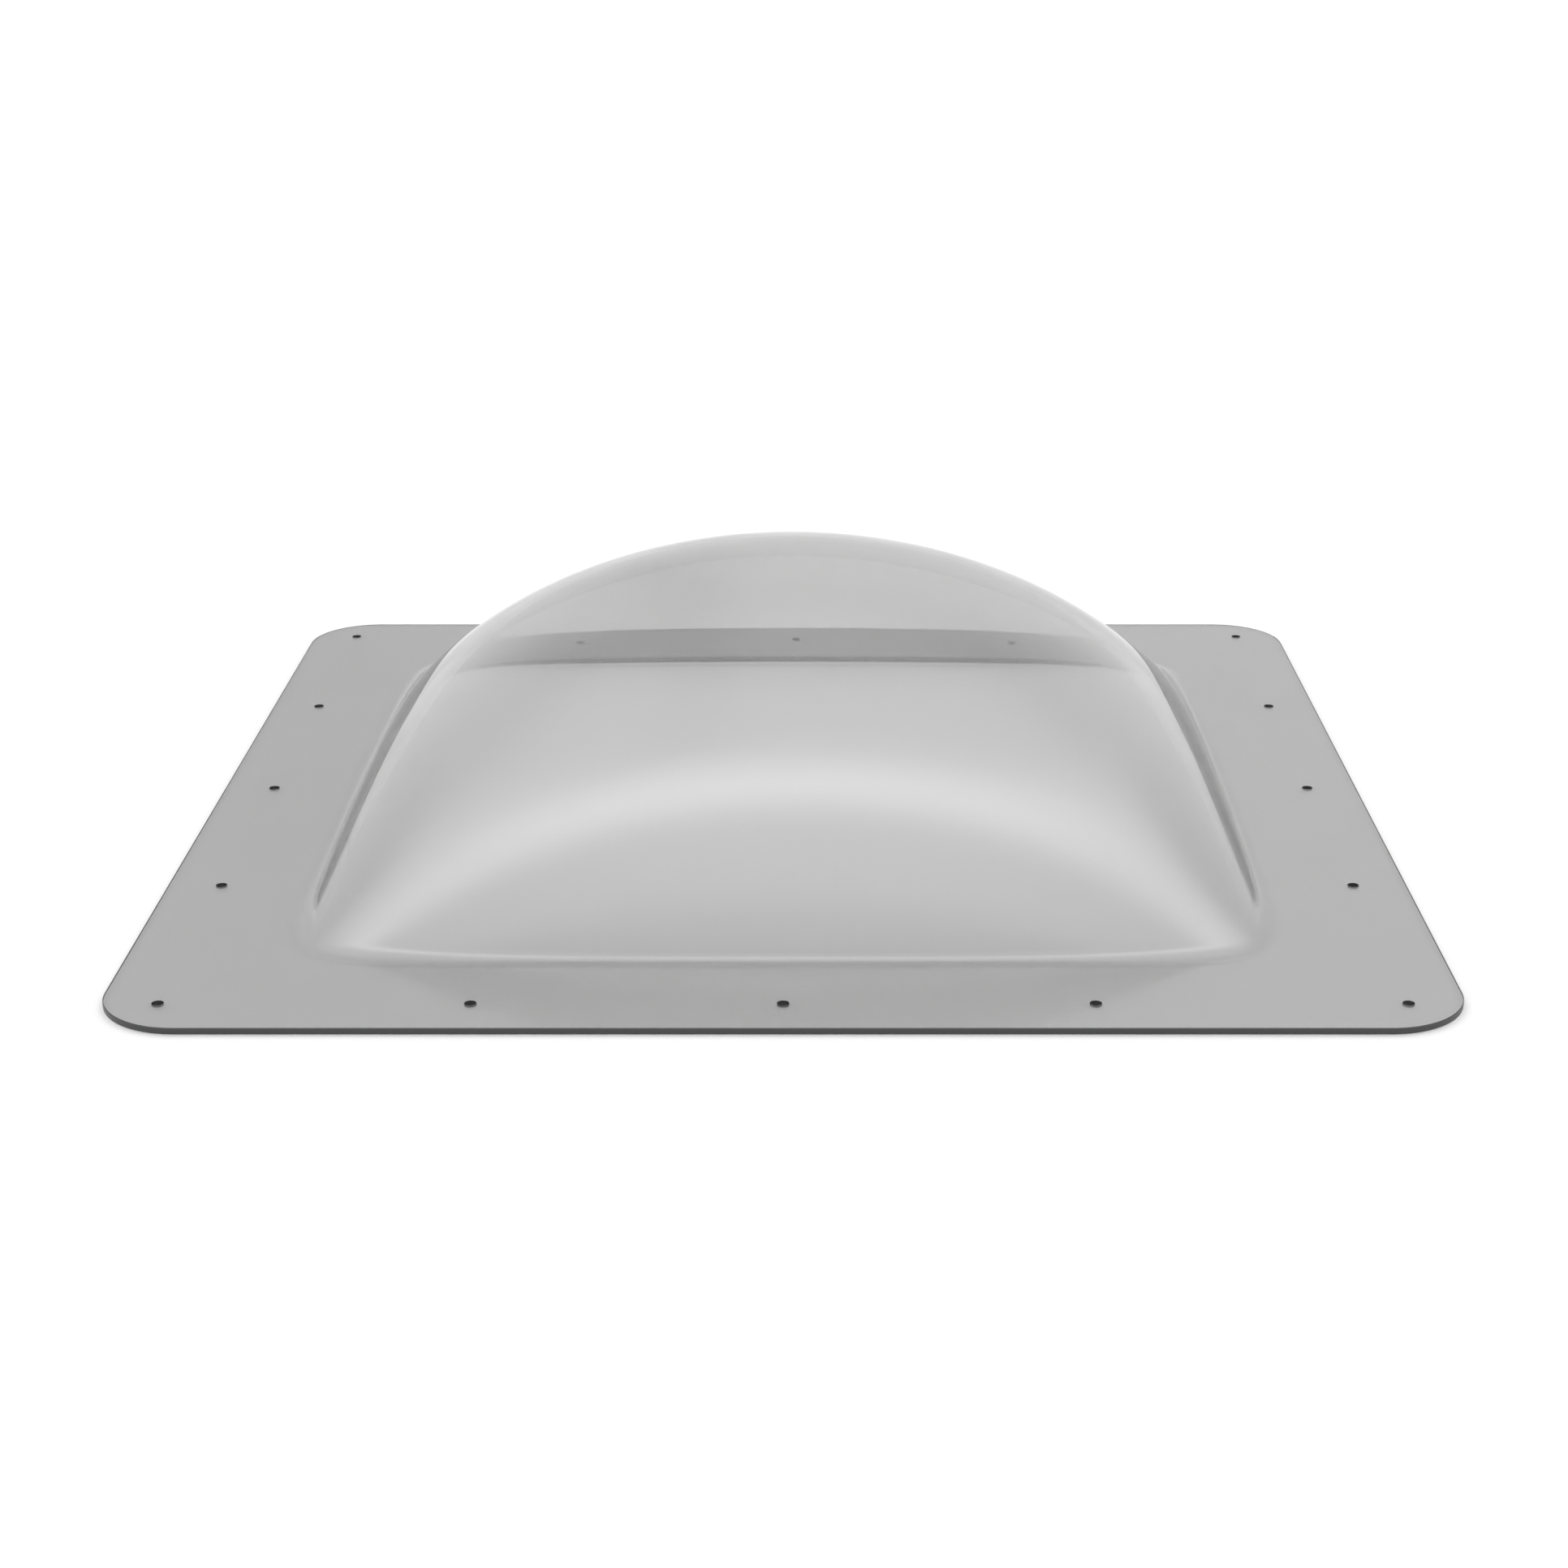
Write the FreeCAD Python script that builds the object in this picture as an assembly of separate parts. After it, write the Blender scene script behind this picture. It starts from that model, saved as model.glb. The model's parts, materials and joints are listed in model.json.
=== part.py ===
import FreeCAD, Part
import math
import os
from FreeCAD import Vector

# Skylight dome for a camper roof: one clear smoke sheet, blown up from a square clamping frame.
# Millimetres. The origin is the centre of the flange's underside, which lies on the roof, and +Z is up.

# Flange, the flat rim that the frame held
flange_width = 609.6
flange_corner_radius = 38.5
sheet_thickness = 3.2
edge_break = 0.4

# Screw holes, evenly spaced along each side, with the corner ones shared
holes_per_side = 5
hole_diameter = 5.5
hole_to_edge = 26.4

# Dome: a pillow that the flange cuts off a little above its own foot. A wall curve above 1 leans
# its sides in.
dome_half_width = 233.4
dome_rise = 132.0
foot_share = 0.06
wall_curve = 1.4
crown_flatness = 0.04
foot_fillet = 4.0
crown_wall = 2.3

# Layout of the dome's faces: a square patch over the crown, out to an angle on both axes, and
# round it rings of long faces, first down the dome and then round the fillet
crown_patch_reach = 0.88
points_along = 15
dome_rings = 6
fillet_rings = 2
spare_points = 2
halvings = 50
level_gap = 0.01
sewing_gap = 0.001


def swell(u, v):
    """Height above the pillow's own foot, as a share of its rise."""
    return (math.cos(u) * math.cos(v)) ** wall_curve


def dome_frame(u, v):
    """Point on the outer face and its normal. The angles u and v are 0 at the crown."""
    pillow_rise = dome_rise / (1.0 - foot_share)

    def across(angle):
        return dome_half_width * math.sin(angle) * (1.0 + crown_flatness * math.cos(angle) ** 2)

    def across_rate(angle):
        bow = 1.0 + crown_flatness * (math.cos(angle) ** 2 - 2.0 * math.sin(angle) ** 2)
        return dome_half_width * math.cos(angle) * bow

    height = pillow_rise * (swell(u, v) - foot_share)
    fall = pillow_rise * wall_curve * swell(u, v)
    along_u = Vector(across_rate(u), 0, -fall * math.tan(u))
    along_v = Vector(0, across_rate(v), -fall * math.tan(v))
    normal = along_u.cross(along_v)
    normal.normalize()
    return Vector(across(u), across(v), sheet_thickness + height), normal


def wall_at(height):
    """The sheet's wall at a height: it thins evenly from the flange to the crown as it is blown."""
    share = (height - sheet_thickness) / dome_rise
    return sheet_thickness + (crown_wall - sheet_thickness) * share


def skin_point(u, v, inside):
    """Point on the dome's outer face, or below it on the inner one."""
    point, normal = dome_frame(u, v)
    return point - normal * wall_at(point.z) if inside else point


def last_place(bearing, holds):
    """The angles u and v, as a vector, up to which a test on them holds on this bearing."""
    outward = Vector(math.cos(bearing), math.sin(bearing), 0)
    inner, outer = 0.0, math.pi / 2 / max(abs(outward.x), abs(outward.y))
    for _ in range(halvings):
        middle = (inner + outer) / 2
        if holds(outward.x * middle, outward.y * middle):
            inner = middle
        else:
            outer = middle
    return outward * inner


def above_fillet(u, v):
    """Whether the dome still stands clear of a ball that rolls along between it and the flange."""
    point, normal = dome_frame(u, v)
    return point.z + foot_fillet * normal.z > sheet_thickness + foot_fillet


def steps(count):
    """Numbers of the points along a patch, with the spare ones past each end."""
    return range(-spare_points, count + spare_points + 1)


def spline(points):
    """Cubic curve that passes each point at its number as the parameter."""
    curve = Part.BSplineCurve()
    curve.interpolate(Points=points, Parameters=[float(i - spare_points) for i in range(len(points))])
    return curve


def surface_through(point_at, along, across):
    """Cubic surface through a grid of points. The spare ones give its borders their true slope, so
    that neighbours meet smoothly, and are trimmed off later."""
    rows = [spline([point_at(i, j) for j in steps(across)]) for i in steps(along)]
    columns = [spline(list(column)) for column in zip(*[row.getPoles() for row in rows])]
    poles = [list(row) for row in zip(*[column.getPoles() for column in columns])]
    surface = Part.BSplineSurface()
    surface.buildFromPolesMultsKnots(
        poles, columns[0].getMultiplicities(), rows[0].getMultiplicities(),
        columns[0].getKnots(), rows[0].getKnots(), False, False, 3, 3)
    return surface


def face_between(surface, start, end):
    """Face of a surface's stretch from one of its numbered lines to another."""
    stretch = surface.copy()
    stretch.segment(0, points_along, start, end)
    return stretch.toShape()


def rim_angles(i):
    """Angles u and v of a point on the crown patch's side and of the point opposite, at the fillet."""
    start = Vector(crown_patch_reach, crown_patch_reach * (2 * i / points_along - 1), 0)
    return start, last_place(math.atan2(start.y, start.x), above_fillet)


def crown_patch(inside):
    """Square patch over the crown."""
    def point_at(i, j):
        return skin_point(rim_angles(i)[0].y, rim_angles(j)[0].y, inside)

    return face_between(surface_through(point_at, points_along, points_along), 0, points_along)


def side_faces(inside):
    """One side of the dome, from the crown patch out to the fillet. Its rings lie at even steps of
    the swell's square root, so that they crowd where the wall turns fastest."""
    def point_at(i, j):
        start, end = rim_angles(i)
        high, low = math.sqrt(swell(start.x, start.y)), math.sqrt(swell(end.x, end.y))
        level = (high + (low - high) * j / dome_rings) ** 2
        place = last_place(math.atan2(start.y, start.x), lambda u, v: swell(u, v) > level)
        return skin_point(place.x, place.y, inside)

    surface = surface_through(point_at, points_along, dome_rings)
    return [face_between(surface, ring, ring + 1) for ring in range(dome_rings)]


def fillet_faces(inside):
    """The fillet below one side: an arc at each bearing, from the dome out to the flange."""
    level = 0.0 if inside else sheet_thickness
    tops, bends, feet, weights = [], [], [], []
    for i in steps(points_along):
        end = rim_angles(i)[1]
        normal = dome_frame(end.x, end.y)[1]
        top = skin_point(end.x, end.y, inside)
        tilt = math.acos(normal.z)
        outward = Vector(normal.x, normal.y, 0)
        outward.normalize()
        reach = (top.z - level) / math.sin(tilt)
        bend = top + outward * (reach * math.cos(tilt))
        bend.z = level
        weight = math.cos(tilt / 2)
        tops.append(top)
        bends.append(bend * weight)
        feet.append(bend + outward * reach)
        weights.append(Vector(weight, i, 0))
    curves = [spline(points) for points in (tops, bends, feet)]
    middle = [pole.x for pole in spline(weights).getPoles()]
    columns = [curve.getPoles() for curve in curves]
    columns[1] = [pole * (1 / weight) for pole, weight in zip(columns[1], middle)]
    surface = Part.BSplineSurface()
    surface.buildFromPolesMultsKnots(
        [list(row) for row in zip(*columns)], curves[0].getMultiplicities(), [3, 3],
        curves[0].getKnots(), [0.0, fillet_rings], False, False, 3, 2,
        [[1.0, weight, 1.0] for weight in middle])
    return [face_between(surface, ring, ring + 1) for ring in range(fillet_rings)]


def blown_faces(inside):
    """The blown sheet's outer or inner faces: the crown, and four sides with their fillets."""
    faces = [crown_patch(inside)]
    for face in side_faces(inside) + fillet_faces(inside):
        for quarter in range(4):
            turned = face.copy()
            turned.rotate(Vector(0, 0, 0), Vector(0, 0, 1), 90 * quarter)
            faces.append(turned)
    return faces


def level_edges(faces, level):
    """Edges that lie flat at a level."""
    edges = [edge for face in faces for edge in face.Edges]
    return [edge for edge in edges
            if abs(edge.BoundBox.ZMin - level) < level_gap and abs(edge.BoundBox.ZMax - level) < level_gap]


def flange_plate():
    """Plate with the flange's outline, its sawn top edge broken."""
    half = flange_width / 2
    plate = Part.makeBox(flange_width, flange_width, sheet_thickness, Vector(-half, -half, 0))
    upright = [edge for edge in plate.Edges if edge.BoundBox.ZLength > sheet_thickness / 2]
    plate = plate.makeFillet(flange_corner_radius, upright)
    return plate.makeChamfer(edge_break, level_edges([plate], sheet_thickness))


def blown_sheet():
    """The flange and the dome as one closed sheet, not yet drilled."""
    faces = []
    edge_faces = flange_plate().Faces
    for level, inside in ((sheet_thickness, False), (0.0, True)):
        skin = blown_faces(inside)
        opening = Part.Wire(Part.__sortEdges__(level_edges(skin, level)))
        flat = next(face for face in edge_faces if abs(face.CenterOfMass.z - level) < level_gap)
        edge_faces.remove(flat)
        faces += skin + [Part.makeFace([flat.OuterWire, opening], "Part::FaceMakerBullseye")]
    shell = Part.makeCompound(faces + edge_faces)
    shell.sewShape(sewing_gap)
    solid = Part.makeSolid(shell.Shells[0])
    if solid.Volume < 0:
        solid.reverse()
    return solid


def screw_holes():
    """Drills for the holes along all four sides of the flange."""
    reach = flange_width / 2 - hole_to_edge
    pitch = 2 * reach / (holes_per_side - 1)
    ends = (0, holes_per_side - 1)
    return [
        Part.makeCylinder(hole_diameter / 2, 3 * sheet_thickness,
                          Vector(-reach + i * pitch, -reach + j * pitch, -sheet_thickness))
        for i in range(holes_per_side) for j in range(holes_per_side) if i in ends or j in ends]


def main():
    os.makedirs("parts", exist_ok=True)
    sheet = blown_sheet().cut(Part.makeCompound(screw_holes())).Solids[0]
    sheet.exportStep("parts/skylight_dome.step")
    print("skylight_dome", "valid", sheet.isValid(), "faces", len(sheet.Faces))
    print("volume cm3", round(sheet.Volume / 1000, 1))


main()
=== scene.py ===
import json
import math

import bmesh
import bpy
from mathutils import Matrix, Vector

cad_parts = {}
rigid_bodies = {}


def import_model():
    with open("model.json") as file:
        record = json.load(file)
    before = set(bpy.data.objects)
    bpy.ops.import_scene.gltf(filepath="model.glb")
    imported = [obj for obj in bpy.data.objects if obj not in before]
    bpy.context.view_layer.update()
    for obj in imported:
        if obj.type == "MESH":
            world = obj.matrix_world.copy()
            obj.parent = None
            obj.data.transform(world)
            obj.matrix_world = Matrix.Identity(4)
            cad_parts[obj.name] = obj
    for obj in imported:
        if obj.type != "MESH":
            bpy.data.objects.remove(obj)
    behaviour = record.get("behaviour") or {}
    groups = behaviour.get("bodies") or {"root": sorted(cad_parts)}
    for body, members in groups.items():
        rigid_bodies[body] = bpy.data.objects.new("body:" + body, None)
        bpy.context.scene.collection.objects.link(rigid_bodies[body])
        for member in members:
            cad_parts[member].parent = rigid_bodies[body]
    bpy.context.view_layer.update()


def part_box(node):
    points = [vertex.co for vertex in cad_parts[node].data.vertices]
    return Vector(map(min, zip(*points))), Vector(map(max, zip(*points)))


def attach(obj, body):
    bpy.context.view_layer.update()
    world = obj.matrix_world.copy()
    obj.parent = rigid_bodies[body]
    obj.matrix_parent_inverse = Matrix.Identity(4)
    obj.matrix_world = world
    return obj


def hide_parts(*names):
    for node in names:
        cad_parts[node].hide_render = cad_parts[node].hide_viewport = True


# An RV skylight dome: one sheet of clear smoke plastic, with a flat square flange round a blown dome.
# Metres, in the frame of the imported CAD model, whose origin is the centre of the flange's underside.

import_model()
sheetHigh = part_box("skylight_dome")[1]


# Shader maths as plain expressions

class Value:
    # A socket that takes part in sums, which add the maths nodes as they go

    def __init__(self, tree, socket):
        self.tree = tree
        self.socket = socket

    def math(self, operation, *others):
        return self.tree.node("ShaderNodeMath", {"operation": operation}, (self,) + others)

    def reflected(self, operation, first):
        return self.tree.node("ShaderNodeMath", {"operation": operation}, (first, self))

    def __add__(self, other): return self.math("ADD", other)
    def __radd__(self, other): return self.math("ADD", other)
    def __sub__(self, other): return self.math("SUBTRACT", other)
    def __rsub__(self, other): return self.reflected("SUBTRACT", other)
    def __mul__(self, other): return self.math("MULTIPLY", other)
    def __rmul__(self, other): return self.math("MULTIPLY", other)
    def __truediv__(self, other): return self.math("DIVIDE", other)
    def __pow__(self, other): return self.math("POWER", other)
    def __neg__(self): return self.math("MULTIPLY", -1)

    def output(self, name):
        # Another output of the same node
        return Value(self.tree, self.socket.node.outputs[name])


class Tree:
    # The node tree of a material or of the world

    def __init__(self, owner):
        owner.use_nodes = True
        self.nodes = owner.node_tree.nodes
        self.links = owner.node_tree.links
        self.nodes.clear()

    def node(self, kind, settings=None, inputs=(), output=0):
        # Any node: its settings, its inputs by name or in order, and the output to go on with
        made = self.nodes.new(kind)
        for name, value in (settings or {}).items():
            setattr(made, name, value)
        pairs = inputs.items() if isinstance(inputs, dict) else enumerate(inputs)
        for name, value in pairs:
            if isinstance(value, Value):
                self.links.new(value.socket, made.inputs[name])
            else:
                made.inputs[name].default_value = value
        return Value(self, made.outputs[output]) if made.outputs else made


def newMaterial(name):
    made = bpy.data.materials.new(name)
    return made, Tree(made)


# Camera, where the photograph was taken from

camera = {
    "place": (0.0198, -1.4052, 0.5184),
    "pitchDown": 20.06,
    "lens": 63.73,
    "sensor": 36.0,
    "shiftX": -0.0278,
}


def makeCamera():
    data = bpy.data.cameras.new("camera")
    data.lens = camera["lens"]
    data.sensor_width = camera["sensor"]
    data.shift_x = camera["shiftX"]
    made = bpy.data.objects.new("camera", data)
    made.location = camera["place"]
    made.rotation_euler = (math.radians(90 - camera["pitchDown"]), 0, 0)
    bpy.context.scene.collection.objects.link(made)
    bpy.context.scene.camera = made


# Studio: a white floor in a white room, with a bowed soft box overhead in a wider glow. Places in
# the ceiling are per metre of height over the object, and those on the walls are parts of a direction

studio = {
    "floorSize": 40.0,
    "floorDrop": 0.0006,      # a hair's gap under the flange, as a sheet laid on paper has
    "floorWhite": 0.95,
    "ambient": 0.57,          # light that the room gives the floor. Seen itself, it is white
    "gapDark": 0.2,           # a gap in the white walls at the back, left of the middle
    "gapPlace": -0.19,
    "gapWidth": 0.1,
    "gapSill": 0.2,
    "horizon": 0.02,          # the ceiling starts above it
    "falloff": 4,             # higher for harder borders of the glow and the box's ends
    "glowStrength": 0.57,
    "glowLean": -0.15,        # towards the camera, as all the leans below 0
    "glowReach": 1.0,
    "boxStrength": 1.8,
    "boxLean": -0.2,
    "boxTilt": 0.1,           # its right end is further back
    "boxBow": 0.9,            # and both ends bend back
    "boxDepth": 0.15,
    "boxFlare": 0.18,         # its ends are wider and softer
    "boxWidth": 0.9,
}


def makeStudio():
    bpy.ops.mesh.primitive_plane_add(size=studio["floorSize"], location=(0, 0, -studio["floorDrop"]))
    floor = bpy.context.object
    floor.name = "floor"
    paint, tree = newMaterial("floorWhite")
    white = (studio["floorWhite"],) * 3 + (1,)
    shader = tree.node("ShaderNodeBsdfDiffuse", {}, {"Color": white})
    tree.node("ShaderNodeOutputMaterial", {}, {"Surface": shader})
    floor.data.materials.append(paint)

    world = bpy.data.worlds.new("studio")
    bpy.context.scene.world = world
    tree = Tree(world)
    x = tree.node("ShaderNodeSeparateXYZ", {}, [tree.node("ShaderNodeTexCoord")])
    y, z = x.output("Y"), x.output("Z")
    high = z.math("MAXIMUM", studio["horizon"])
    side, depth = x / high, y / high
    fade = (-((side / studio["boxWidth"]) ** studio["falloff"])).math("EXPONENT")
    middle = side * studio["boxTilt"] + side * side * studio["boxBow"] + studio["boxLean"]
    strip = (depth - middle) / (side * side * studio["boxFlare"] + studio["boxDepth"])
    box = (-(strip * strip)).math("EXPONENT") * fade * studio["boxStrength"]
    spread = (depth - studio["glowLean"]) / studio["glowReach"]
    glow = (-(spread ** studio["falloff"])).math("EXPONENT") * fade * studio["glowStrength"]
    above = z.math("GREATER_THAN", studio["horizon"])
    offset = (x - studio["gapPlace"]) / studio["gapWidth"]
    over = z / studio["gapSill"]
    sill = 1 - (-(over * over)).math("EXPONENT")
    gap = (-(offset * offset)).math("EXPONENT") * sill * y.math("GREATER_THAN", 0) * studio["gapDark"]
    path = tree.node("ShaderNodeLightPath")
    lighting = path.output("Diffuse Depth").math("GREATER_THAN", 0)
    wall = 1 - gap * (1 - path.output("Is Camera Ray"))
    base = wall + lighting * (studio["ambient"] - wall)
    back = tree.node("ShaderNodeBackground", {}, {
        "Color": (1, 1, 1, 1), "Strength": base + above * (box + glow)})
    tree.node("ShaderNodeOutputWorld", {}, {"Surface": back})
    bpy.context.scene.view_settings.view_transform = "Standard"
    # The floor under the dome gets its light through clear sheet, which this filter would darken
    bpy.context.scene.cycles.blur_glossy = 0


# Clear sheet, glossy and refracting, with the smoke tint in its depth. The frame that held the flange
# has dulled it a little, and the blown dome is untouched

smoke = {
    "refraction": 1.585,
    "tint": (0.5, 0.5, 0.5, 1),
    "tintDensity": 230.0,
    "dull": 0.01,             # roughness of the dome
    "handledDull": 0.02,      # more in patches, from handling
    "handledScale": 9.0,
    "handledDetail": 3.0,
    "heldDull": 0.1,          # and more on the flange, up to a height on the foot fillet
    "heldFull": 0.0033,
    "heldEnd": 0.0045,
    "waveScale": 14.0,        # slight waves from the blowing
    "waveDetail": 1.0,
    "waveStrength": 0.06,
    "waveHeight": 0.002,
}


def clearSmoke():
    made, tree = newMaterial("clearSmoke")
    place = tree.node("ShaderNodeTexCoord").output("Object")
    handled = tree.node("ShaderNodeTexNoise", {}, {
        "Vector": place, "Scale": smoke["handledScale"], "Detail": smoke["handledDetail"]})
    height = tree.node("ShaderNodeSeparateXYZ", {}, [place]).output("Z")
    held = tree.node("ShaderNodeMapRange", {"interpolation_type": "SMOOTHSTEP"}, {
        "Value": height, "From Min": smoke["heldEnd"], "From Max": smoke["heldFull"],
        "To Min": 0.0, "To Max": 1.0})
    waves = tree.node("ShaderNodeTexNoise", {}, {
        "Vector": place, "Scale": smoke["waveScale"], "Detail": smoke["waveDetail"]})
    bump = tree.node("ShaderNodeBump", {}, {
        "Height": waves, "Strength": smoke["waveStrength"], "Distance": smoke["waveHeight"]})
    shader = tree.node("ShaderNodeBsdfPrincipled", {}, {
        "Base Color": (1, 1, 1, 1),
        "Roughness": handled * smoke["handledDull"] + held * smoke["heldDull"] + smoke["dull"],
        "IOR": smoke["refraction"],
        "Transmission Weight": 1.0,
        "Normal": bump,
    })
    tint = tree.node("ShaderNodeVolumeAbsorption", {}, {
        "Color": smoke["tint"], "Density": smoke["tintDensity"]})
    tree.node("ShaderNodeOutputMaterial", {}, {"Surface": shader, "Volume": tint})
    return made


# Cut edge: dark, because the tint is seen through the sheet's whole width, and finely scored

sawn = {
    "low": (0.02, 0.02, 0.021, 1),
    "high": (0.045, 0.045, 0.046, 1),
    "dull": 0.3,
    "grainDull": 0.2,
    "grainScale": 900.0,
    "grainStretch": (1, 1, 6),
    "grainDetail": 2.0,
    "grainStrength": 0.25,
    "grainHeight": 0.0002,
}


def sawnRim():
    made, tree = newMaterial("sawnRim")
    place = tree.node("ShaderNodeTexCoord").output("Object")
    flat = tree.node("ShaderNodeMapping", {}, {"Vector": place, "Scale": sawn["grainStretch"]})
    grain = tree.node("ShaderNodeTexNoise", {}, {
        "Vector": flat, "Scale": sawn["grainScale"], "Detail": sawn["grainDetail"]})
    bump = tree.node("ShaderNodeBump", {}, {
        "Height": grain, "Strength": sawn["grainStrength"], "Distance": sawn["grainHeight"]})
    # A Mix node has inputs of the same name for numbers, vectors and colours, so its go by number
    shade = tree.node("ShaderNodeMix", {"data_type": "RGBA"}, {0: grain, 6: sawn["low"], 7: sawn["high"]}, 2)
    shader = tree.node("ShaderNodeBsdfPrincipled", {}, {
        "Base Color": shade,
        "Roughness": grain * sawn["grainDull"] + sawn["dull"],
        "IOR": smoke["refraction"],
        "Normal": bump,
    })
    tree.node("ShaderNodeOutputMaterial", {}, {"Surface": shader})
    return made


# The blown sheet. Its overall size comes from the frame, and the rest are real sizes

sheet = {
    "thickness": 0.0032,
    "crownWall": 0.0023,
    "domeHalfWidth": 0.2334,
    "footShare": 0.06,
    "wallCurve": 1.4,
    "crownFlatness": 0.04,
    "footFillet": 0.007,
    "cornerFillet": 0.018,    # it opens out at the dome's corners
    "cornerFocus": 6,         # higher to keep that closer to them
    "flangeCornerRadius": 0.0385,
    "holeDiameter": 0.0055,
    "holeToEdge": 0.0264,
    "holesPerSide": 5,
    "edgeBreak": 0.0004,      # sawn edges
    "deburr": 0.00012,        # drilled edges
    "sharpAngle": 60,         # degrees. Sharper edges are broken
    "smoothAngle": 30,        # and flatter ones shaded smooth
    "crownReach": 0.85,       # from here down, how finely it is modelled
    "crownCells": 72,
    "domeRings": 26,
    "filletRings": 8,
    "flangeRings": (0.01, 0.35, 0.7, 1.0),     # shares of the way out from the foot to the edge
    "cornerCells": 0.35,      # share of the outline's vertices that its corners get
    "holeSides": 40,
    "drillLengths": 3,        # a drill's length, in thicknesses
    "halvings": 40,
}


def swell(u, v):
    # Height above the pillow's own foot, as a share of its rise
    return (math.cos(u) * math.cos(v)) ** sheet["wallCurve"]


def domePoint(u, v):
    # Point on the dome's outer face and its normal, from the angles u and v, which are 0 at the crown
    rise = (sheetHigh.z - sheet["thickness"]) / (1 - sheet["footShare"])
    bow = sheet["crownFlatness"]

    def across(angle):
        return sheet["domeHalfWidth"] * math.sin(angle) * (1 + bow * math.cos(angle) ** 2)

    def rate(angle):
        square = math.cos(angle) ** 2
        return sheet["domeHalfWidth"] * math.cos(angle) * (1 + bow * (3 * square - 2))

    fall = rise * sheet["wallCurve"] * swell(u, v)
    alongU = Vector((rate(u), 0, -fall * math.tan(u)))
    alongV = Vector((0, rate(v), -fall * math.tan(v)))
    height = rise * (swell(u, v) - sheet["footShare"])
    point = Vector((across(u), across(v), sheet["thickness"] + height))
    return point, alongU.cross(alongV).normalized()


def lastPlace(bearing, holds):
    # The angles u and v on a bearing, as a vector, up to which a test on them holds
    outward = Vector((math.cos(bearing), math.sin(bearing)))
    inner, outer = 0.0, math.pi / 2 / max(abs(outward.x), abs(outward.y))
    for _ in range(sheet["halvings"]):
        middle = (inner + outer) / 2
        if holds(outward.x * middle, outward.y * middle):
            inner = middle
        else:
            outer = middle
    return outward * inner


def filletRadius(u, v):
    # Between the radius along the sides and the one at the corners
    corner = (2 * u * v / (u * u + v * v)) ** sheet["cornerFocus"]
    return sheet["footFillet"] + (sheet["cornerFillet"] - sheet["footFillet"]) * corner


def aboveFillet(u, v):
    # Whether the dome still stands clear of a ball that rolls along between it and the flange
    point, normal = domePoint(u, v)
    radius = filletRadius(u, v)
    return point.z + radius * normal.z > sheet["thickness"] + radius


def wallPlace(u, v, share):
    # Place on the dome's side, some way down from the crown's border to the fillet
    bearing = math.atan2(v, u)
    end = lastPlace(bearing, aboveFillet)
    high, low = math.sqrt(swell(u, v)), math.sqrt(swell(end.x, end.y))
    level = (high + (low - high) * share) ** 2
    place = lastPlace(bearing, lambda a, b: swell(a, b) > level)
    return domePoint(place.x, place.y)[0]


def filletPlace(u, v, share):
    # Place on the fillet, some way round from the dome to the flange
    end = lastPlace(math.atan2(v, u), aboveFillet)
    point, normal = domePoint(end.x, end.y)
    outward = Vector((normal.x, normal.y, 0)).normalized()
    tilt = math.acos(normal.z) * (1 - share)
    spoke = outward * math.sin(tilt) + Vector((0, 0, math.cos(tilt)))
    return point + (normal - spoke) * filletRadius(u, v)


def outlinePlace(u, v):
    # Place on the flange's outline, a square with round corners
    radius = sheet["flangeCornerRadius"]
    straight = sheetHigh.x - radius
    along = min(abs(u), abs(v)) / max(abs(u), abs(v))
    plain = 1 - sheet["cornerCells"]
    turn = math.radians(45) * max(0, along - plain) / sheet["cornerCells"]
    far = straight + radius * math.cos(turn)
    side = straight * min(1, along / plain) + radius * math.sin(turn)
    x, y = (far, side) if abs(u) >= abs(v) else (side, far)
    return Vector((math.copysign(x, u), math.copysign(y, v), sheet["thickness"]))


def ringPlace(u, v, ring):
    # Where a vertex of the crown's border goes in each ring outside it
    if ring <= sheet["domeRings"]:
        return wallPlace(u, v, ring / sheet["domeRings"])
    ring -= sheet["domeRings"]
    if ring <= sheet["filletRings"]:
        return filletPlace(u, v, ring / sheet["filletRings"])
    share = sheet["flangeRings"][ring - sheet["filletRings"] - 1]
    return filletPlace(u, v, 1).lerp(outlinePlace(u, v), share)


def growRings():
    # Extrudes the crown's border down the dome, round the fillet and out to the flange's edge
    bpy.ops.mesh.select_all(action="DESELECT")
    bpy.ops.mesh.select_non_manifold(extend=False)
    for ring in range(sheet["domeRings"] + sheet["filletRings"] + len(sheet["flangeRings"])):
        bpy.ops.mesh.extrude_edges_move()
        shape = bmesh.from_edit_mesh(bpy.context.object.data)
        startU = shape.verts.layers.float["startU"]
        startV = shape.verts.layers.float["startV"]
        for vert in shape.verts:
            if vert.select:
                vert.co = ringPlace(vert[startU], vert[startV], ring + 1)
        bmesh.update_edit_mesh(bpy.context.object.data)


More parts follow.
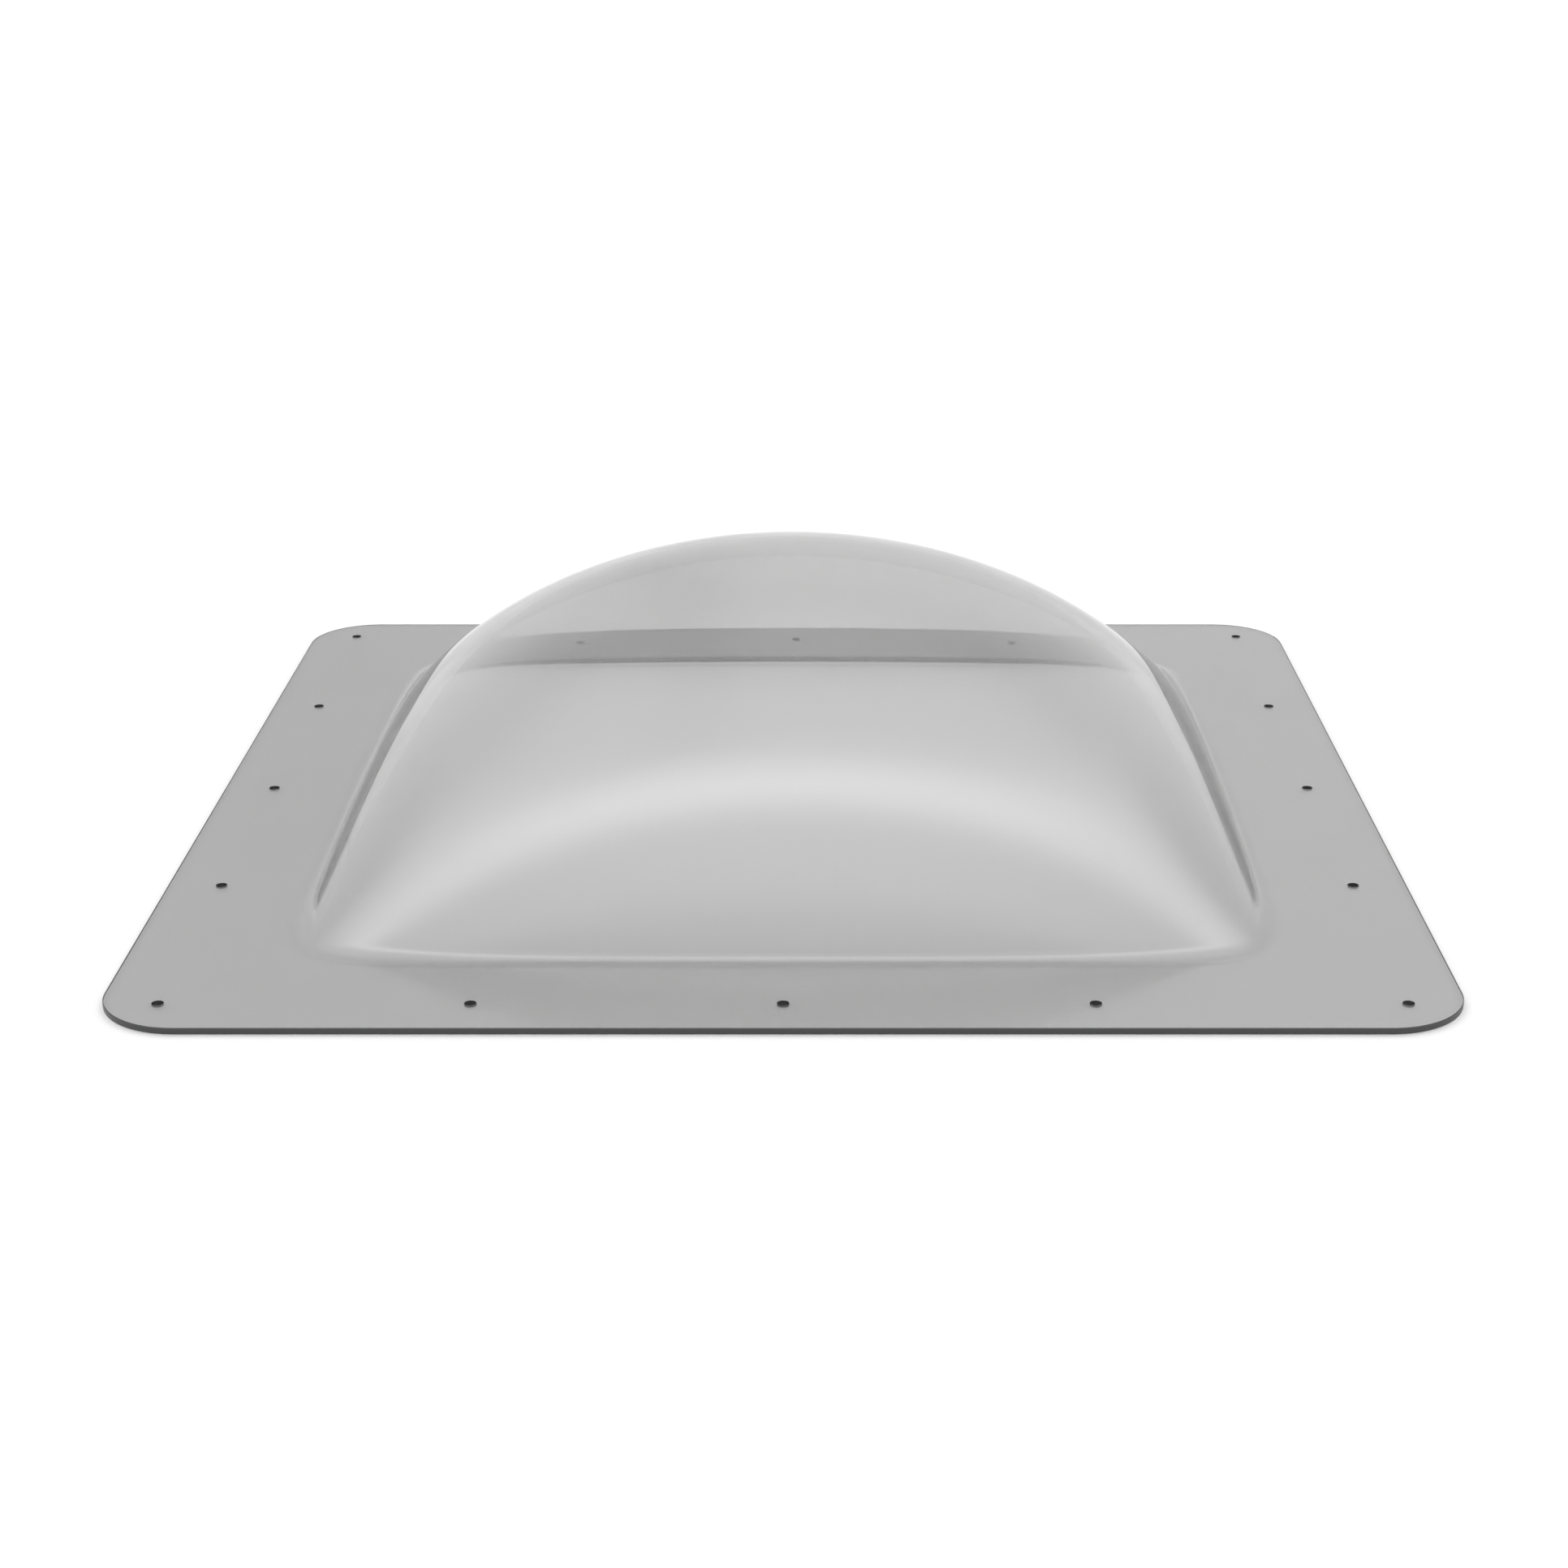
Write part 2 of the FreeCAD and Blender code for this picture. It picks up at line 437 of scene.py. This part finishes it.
def blowSkin():
    # The sheet's upper skin: a grid over the crown, with the rings grown round it. The grid starts
    # from -1 to 1 both ways, as shares of the crown's reach
    bpy.ops.object.select_all(action="DESELECT")
    cells = sheet["crownCells"]
    bpy.ops.mesh.primitive_grid_add(x_subdivisions=cells, y_subdivisions=cells, size=2)
    made = bpy.context.object
    made.name = "blown_sheet"
    startU = made.data.attributes.new("startU", "FLOAT", "POINT")
    startV = made.data.attributes.new("startV", "FLOAT", "POINT")
    for vert in made.data.vertices:
        u, v = vert.co.x * sheet["crownReach"], vert.co.y * sheet["crownReach"]
        startU.data[vert.index].value = u
        startV.data[vert.index].value = v
        vert.co = domePoint(u, v)[0]
    bpy.ops.object.mode_set(mode="EDIT")
    growRings()
    bpy.ops.mesh.select_all(action="SELECT")
    bpy.ops.mesh.normals_make_consistent(inside=False)
    bpy.ops.object.mode_set(mode="OBJECT")
    print("skin blown")
    return made


def giveWall(made):
    # The sheet's wall, thinner towards the crown
    level = sheet["thickness"]
    group = made.vertex_groups.new(name="wall")
    for vert in made.data.vertices:
        share = (vert.co.z - level) / (sheetHigh.z - level)
        wall = level + (sheet["crownWall"] - level) * share
        group.add([vert.index], wall / level, "REPLACE")
    solid = made.modifiers.new("wall", "SOLIDIFY")
    solid.thickness = level
    solid.offset = -1
    solid.vertex_group = "wall"
    solid.use_quality_normals = True
    solid.material_offset_rim = 1
    bpy.ops.object.modifier_apply(modifier="wall")
    print("wall given")


def makeDrills():
    # Drills for the screw holes, evenly spaced along all four sides
    bpy.ops.object.select_all(action="DESELECT")
    reach = sheetHigh.x - sheet["holeToEdge"]
    last = sheet["holesPerSide"] - 1
    for i in range(last + 1):
        for j in range(last + 1):
            if i in (0, last) or j in (0, last):
                bpy.ops.mesh.primitive_cylinder_add(
                    vertices=sheet["holeSides"], radius=sheet["holeDiameter"] / 2,
                    depth=sheet["thickness"] * sheet["drillLengths"],
                    location=(reach * (2 * i / last - 1), reach * (2 * j / last - 1), 0))
                bpy.context.object.name = "drill"
    for drill in bpy.data.objects:
        drill.select_set(drill.name.startswith("drill"))
    bpy.ops.object.join()
    return bpy.context.object


def drillHoles(made, drills):
    cut = made.modifiers.new("holes", "BOOLEAN")
    cut.operation = "DIFFERENCE"
    cut.object = drills
    cut.material_mode = "TRANSFER"
    bpy.context.view_layer.objects.active = made
    bpy.ops.object.modifier_apply(modifier="holes")
    bpy.data.objects.remove(drills)
    print("holes drilled")


def easeEdges(made, width):
    # Sharp edges, slightly broken
    ease = made.modifiers.new("ease", "BEVEL")
    ease.width = width
    ease.segments = 1
    ease.limit_method = "ANGLE"
    ease.angle_limit = math.radians(sheet["sharpAngle"])
    bpy.context.view_layer.objects.active = made
    bpy.ops.object.modifier_apply(modifier="ease")


def makeSheet():
    rim = sawnRim()
    made = blowSkin()
    made.data.materials.append(clearSmoke())
    made.data.materials.append(rim)
    giveWall(made)
    easeEdges(made, sheet["edgeBreak"])
    drills = makeDrills()
    drills.data.materials.append(rim)
    drillHoles(made, drills)
    easeEdges(made, sheet["deburr"])
    bpy.ops.object.select_all(action="DESELECT")
    made.select_set(True)
    bpy.ops.object.shade_smooth_by_angle(angle=math.radians(sheet["smoothAngle"]))
    print("sheet finished", len(made.data.polygons), "faces")
    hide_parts("skylight_dome")
    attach(made, "root")


makeCamera()
makeStudio()
makeSheet()
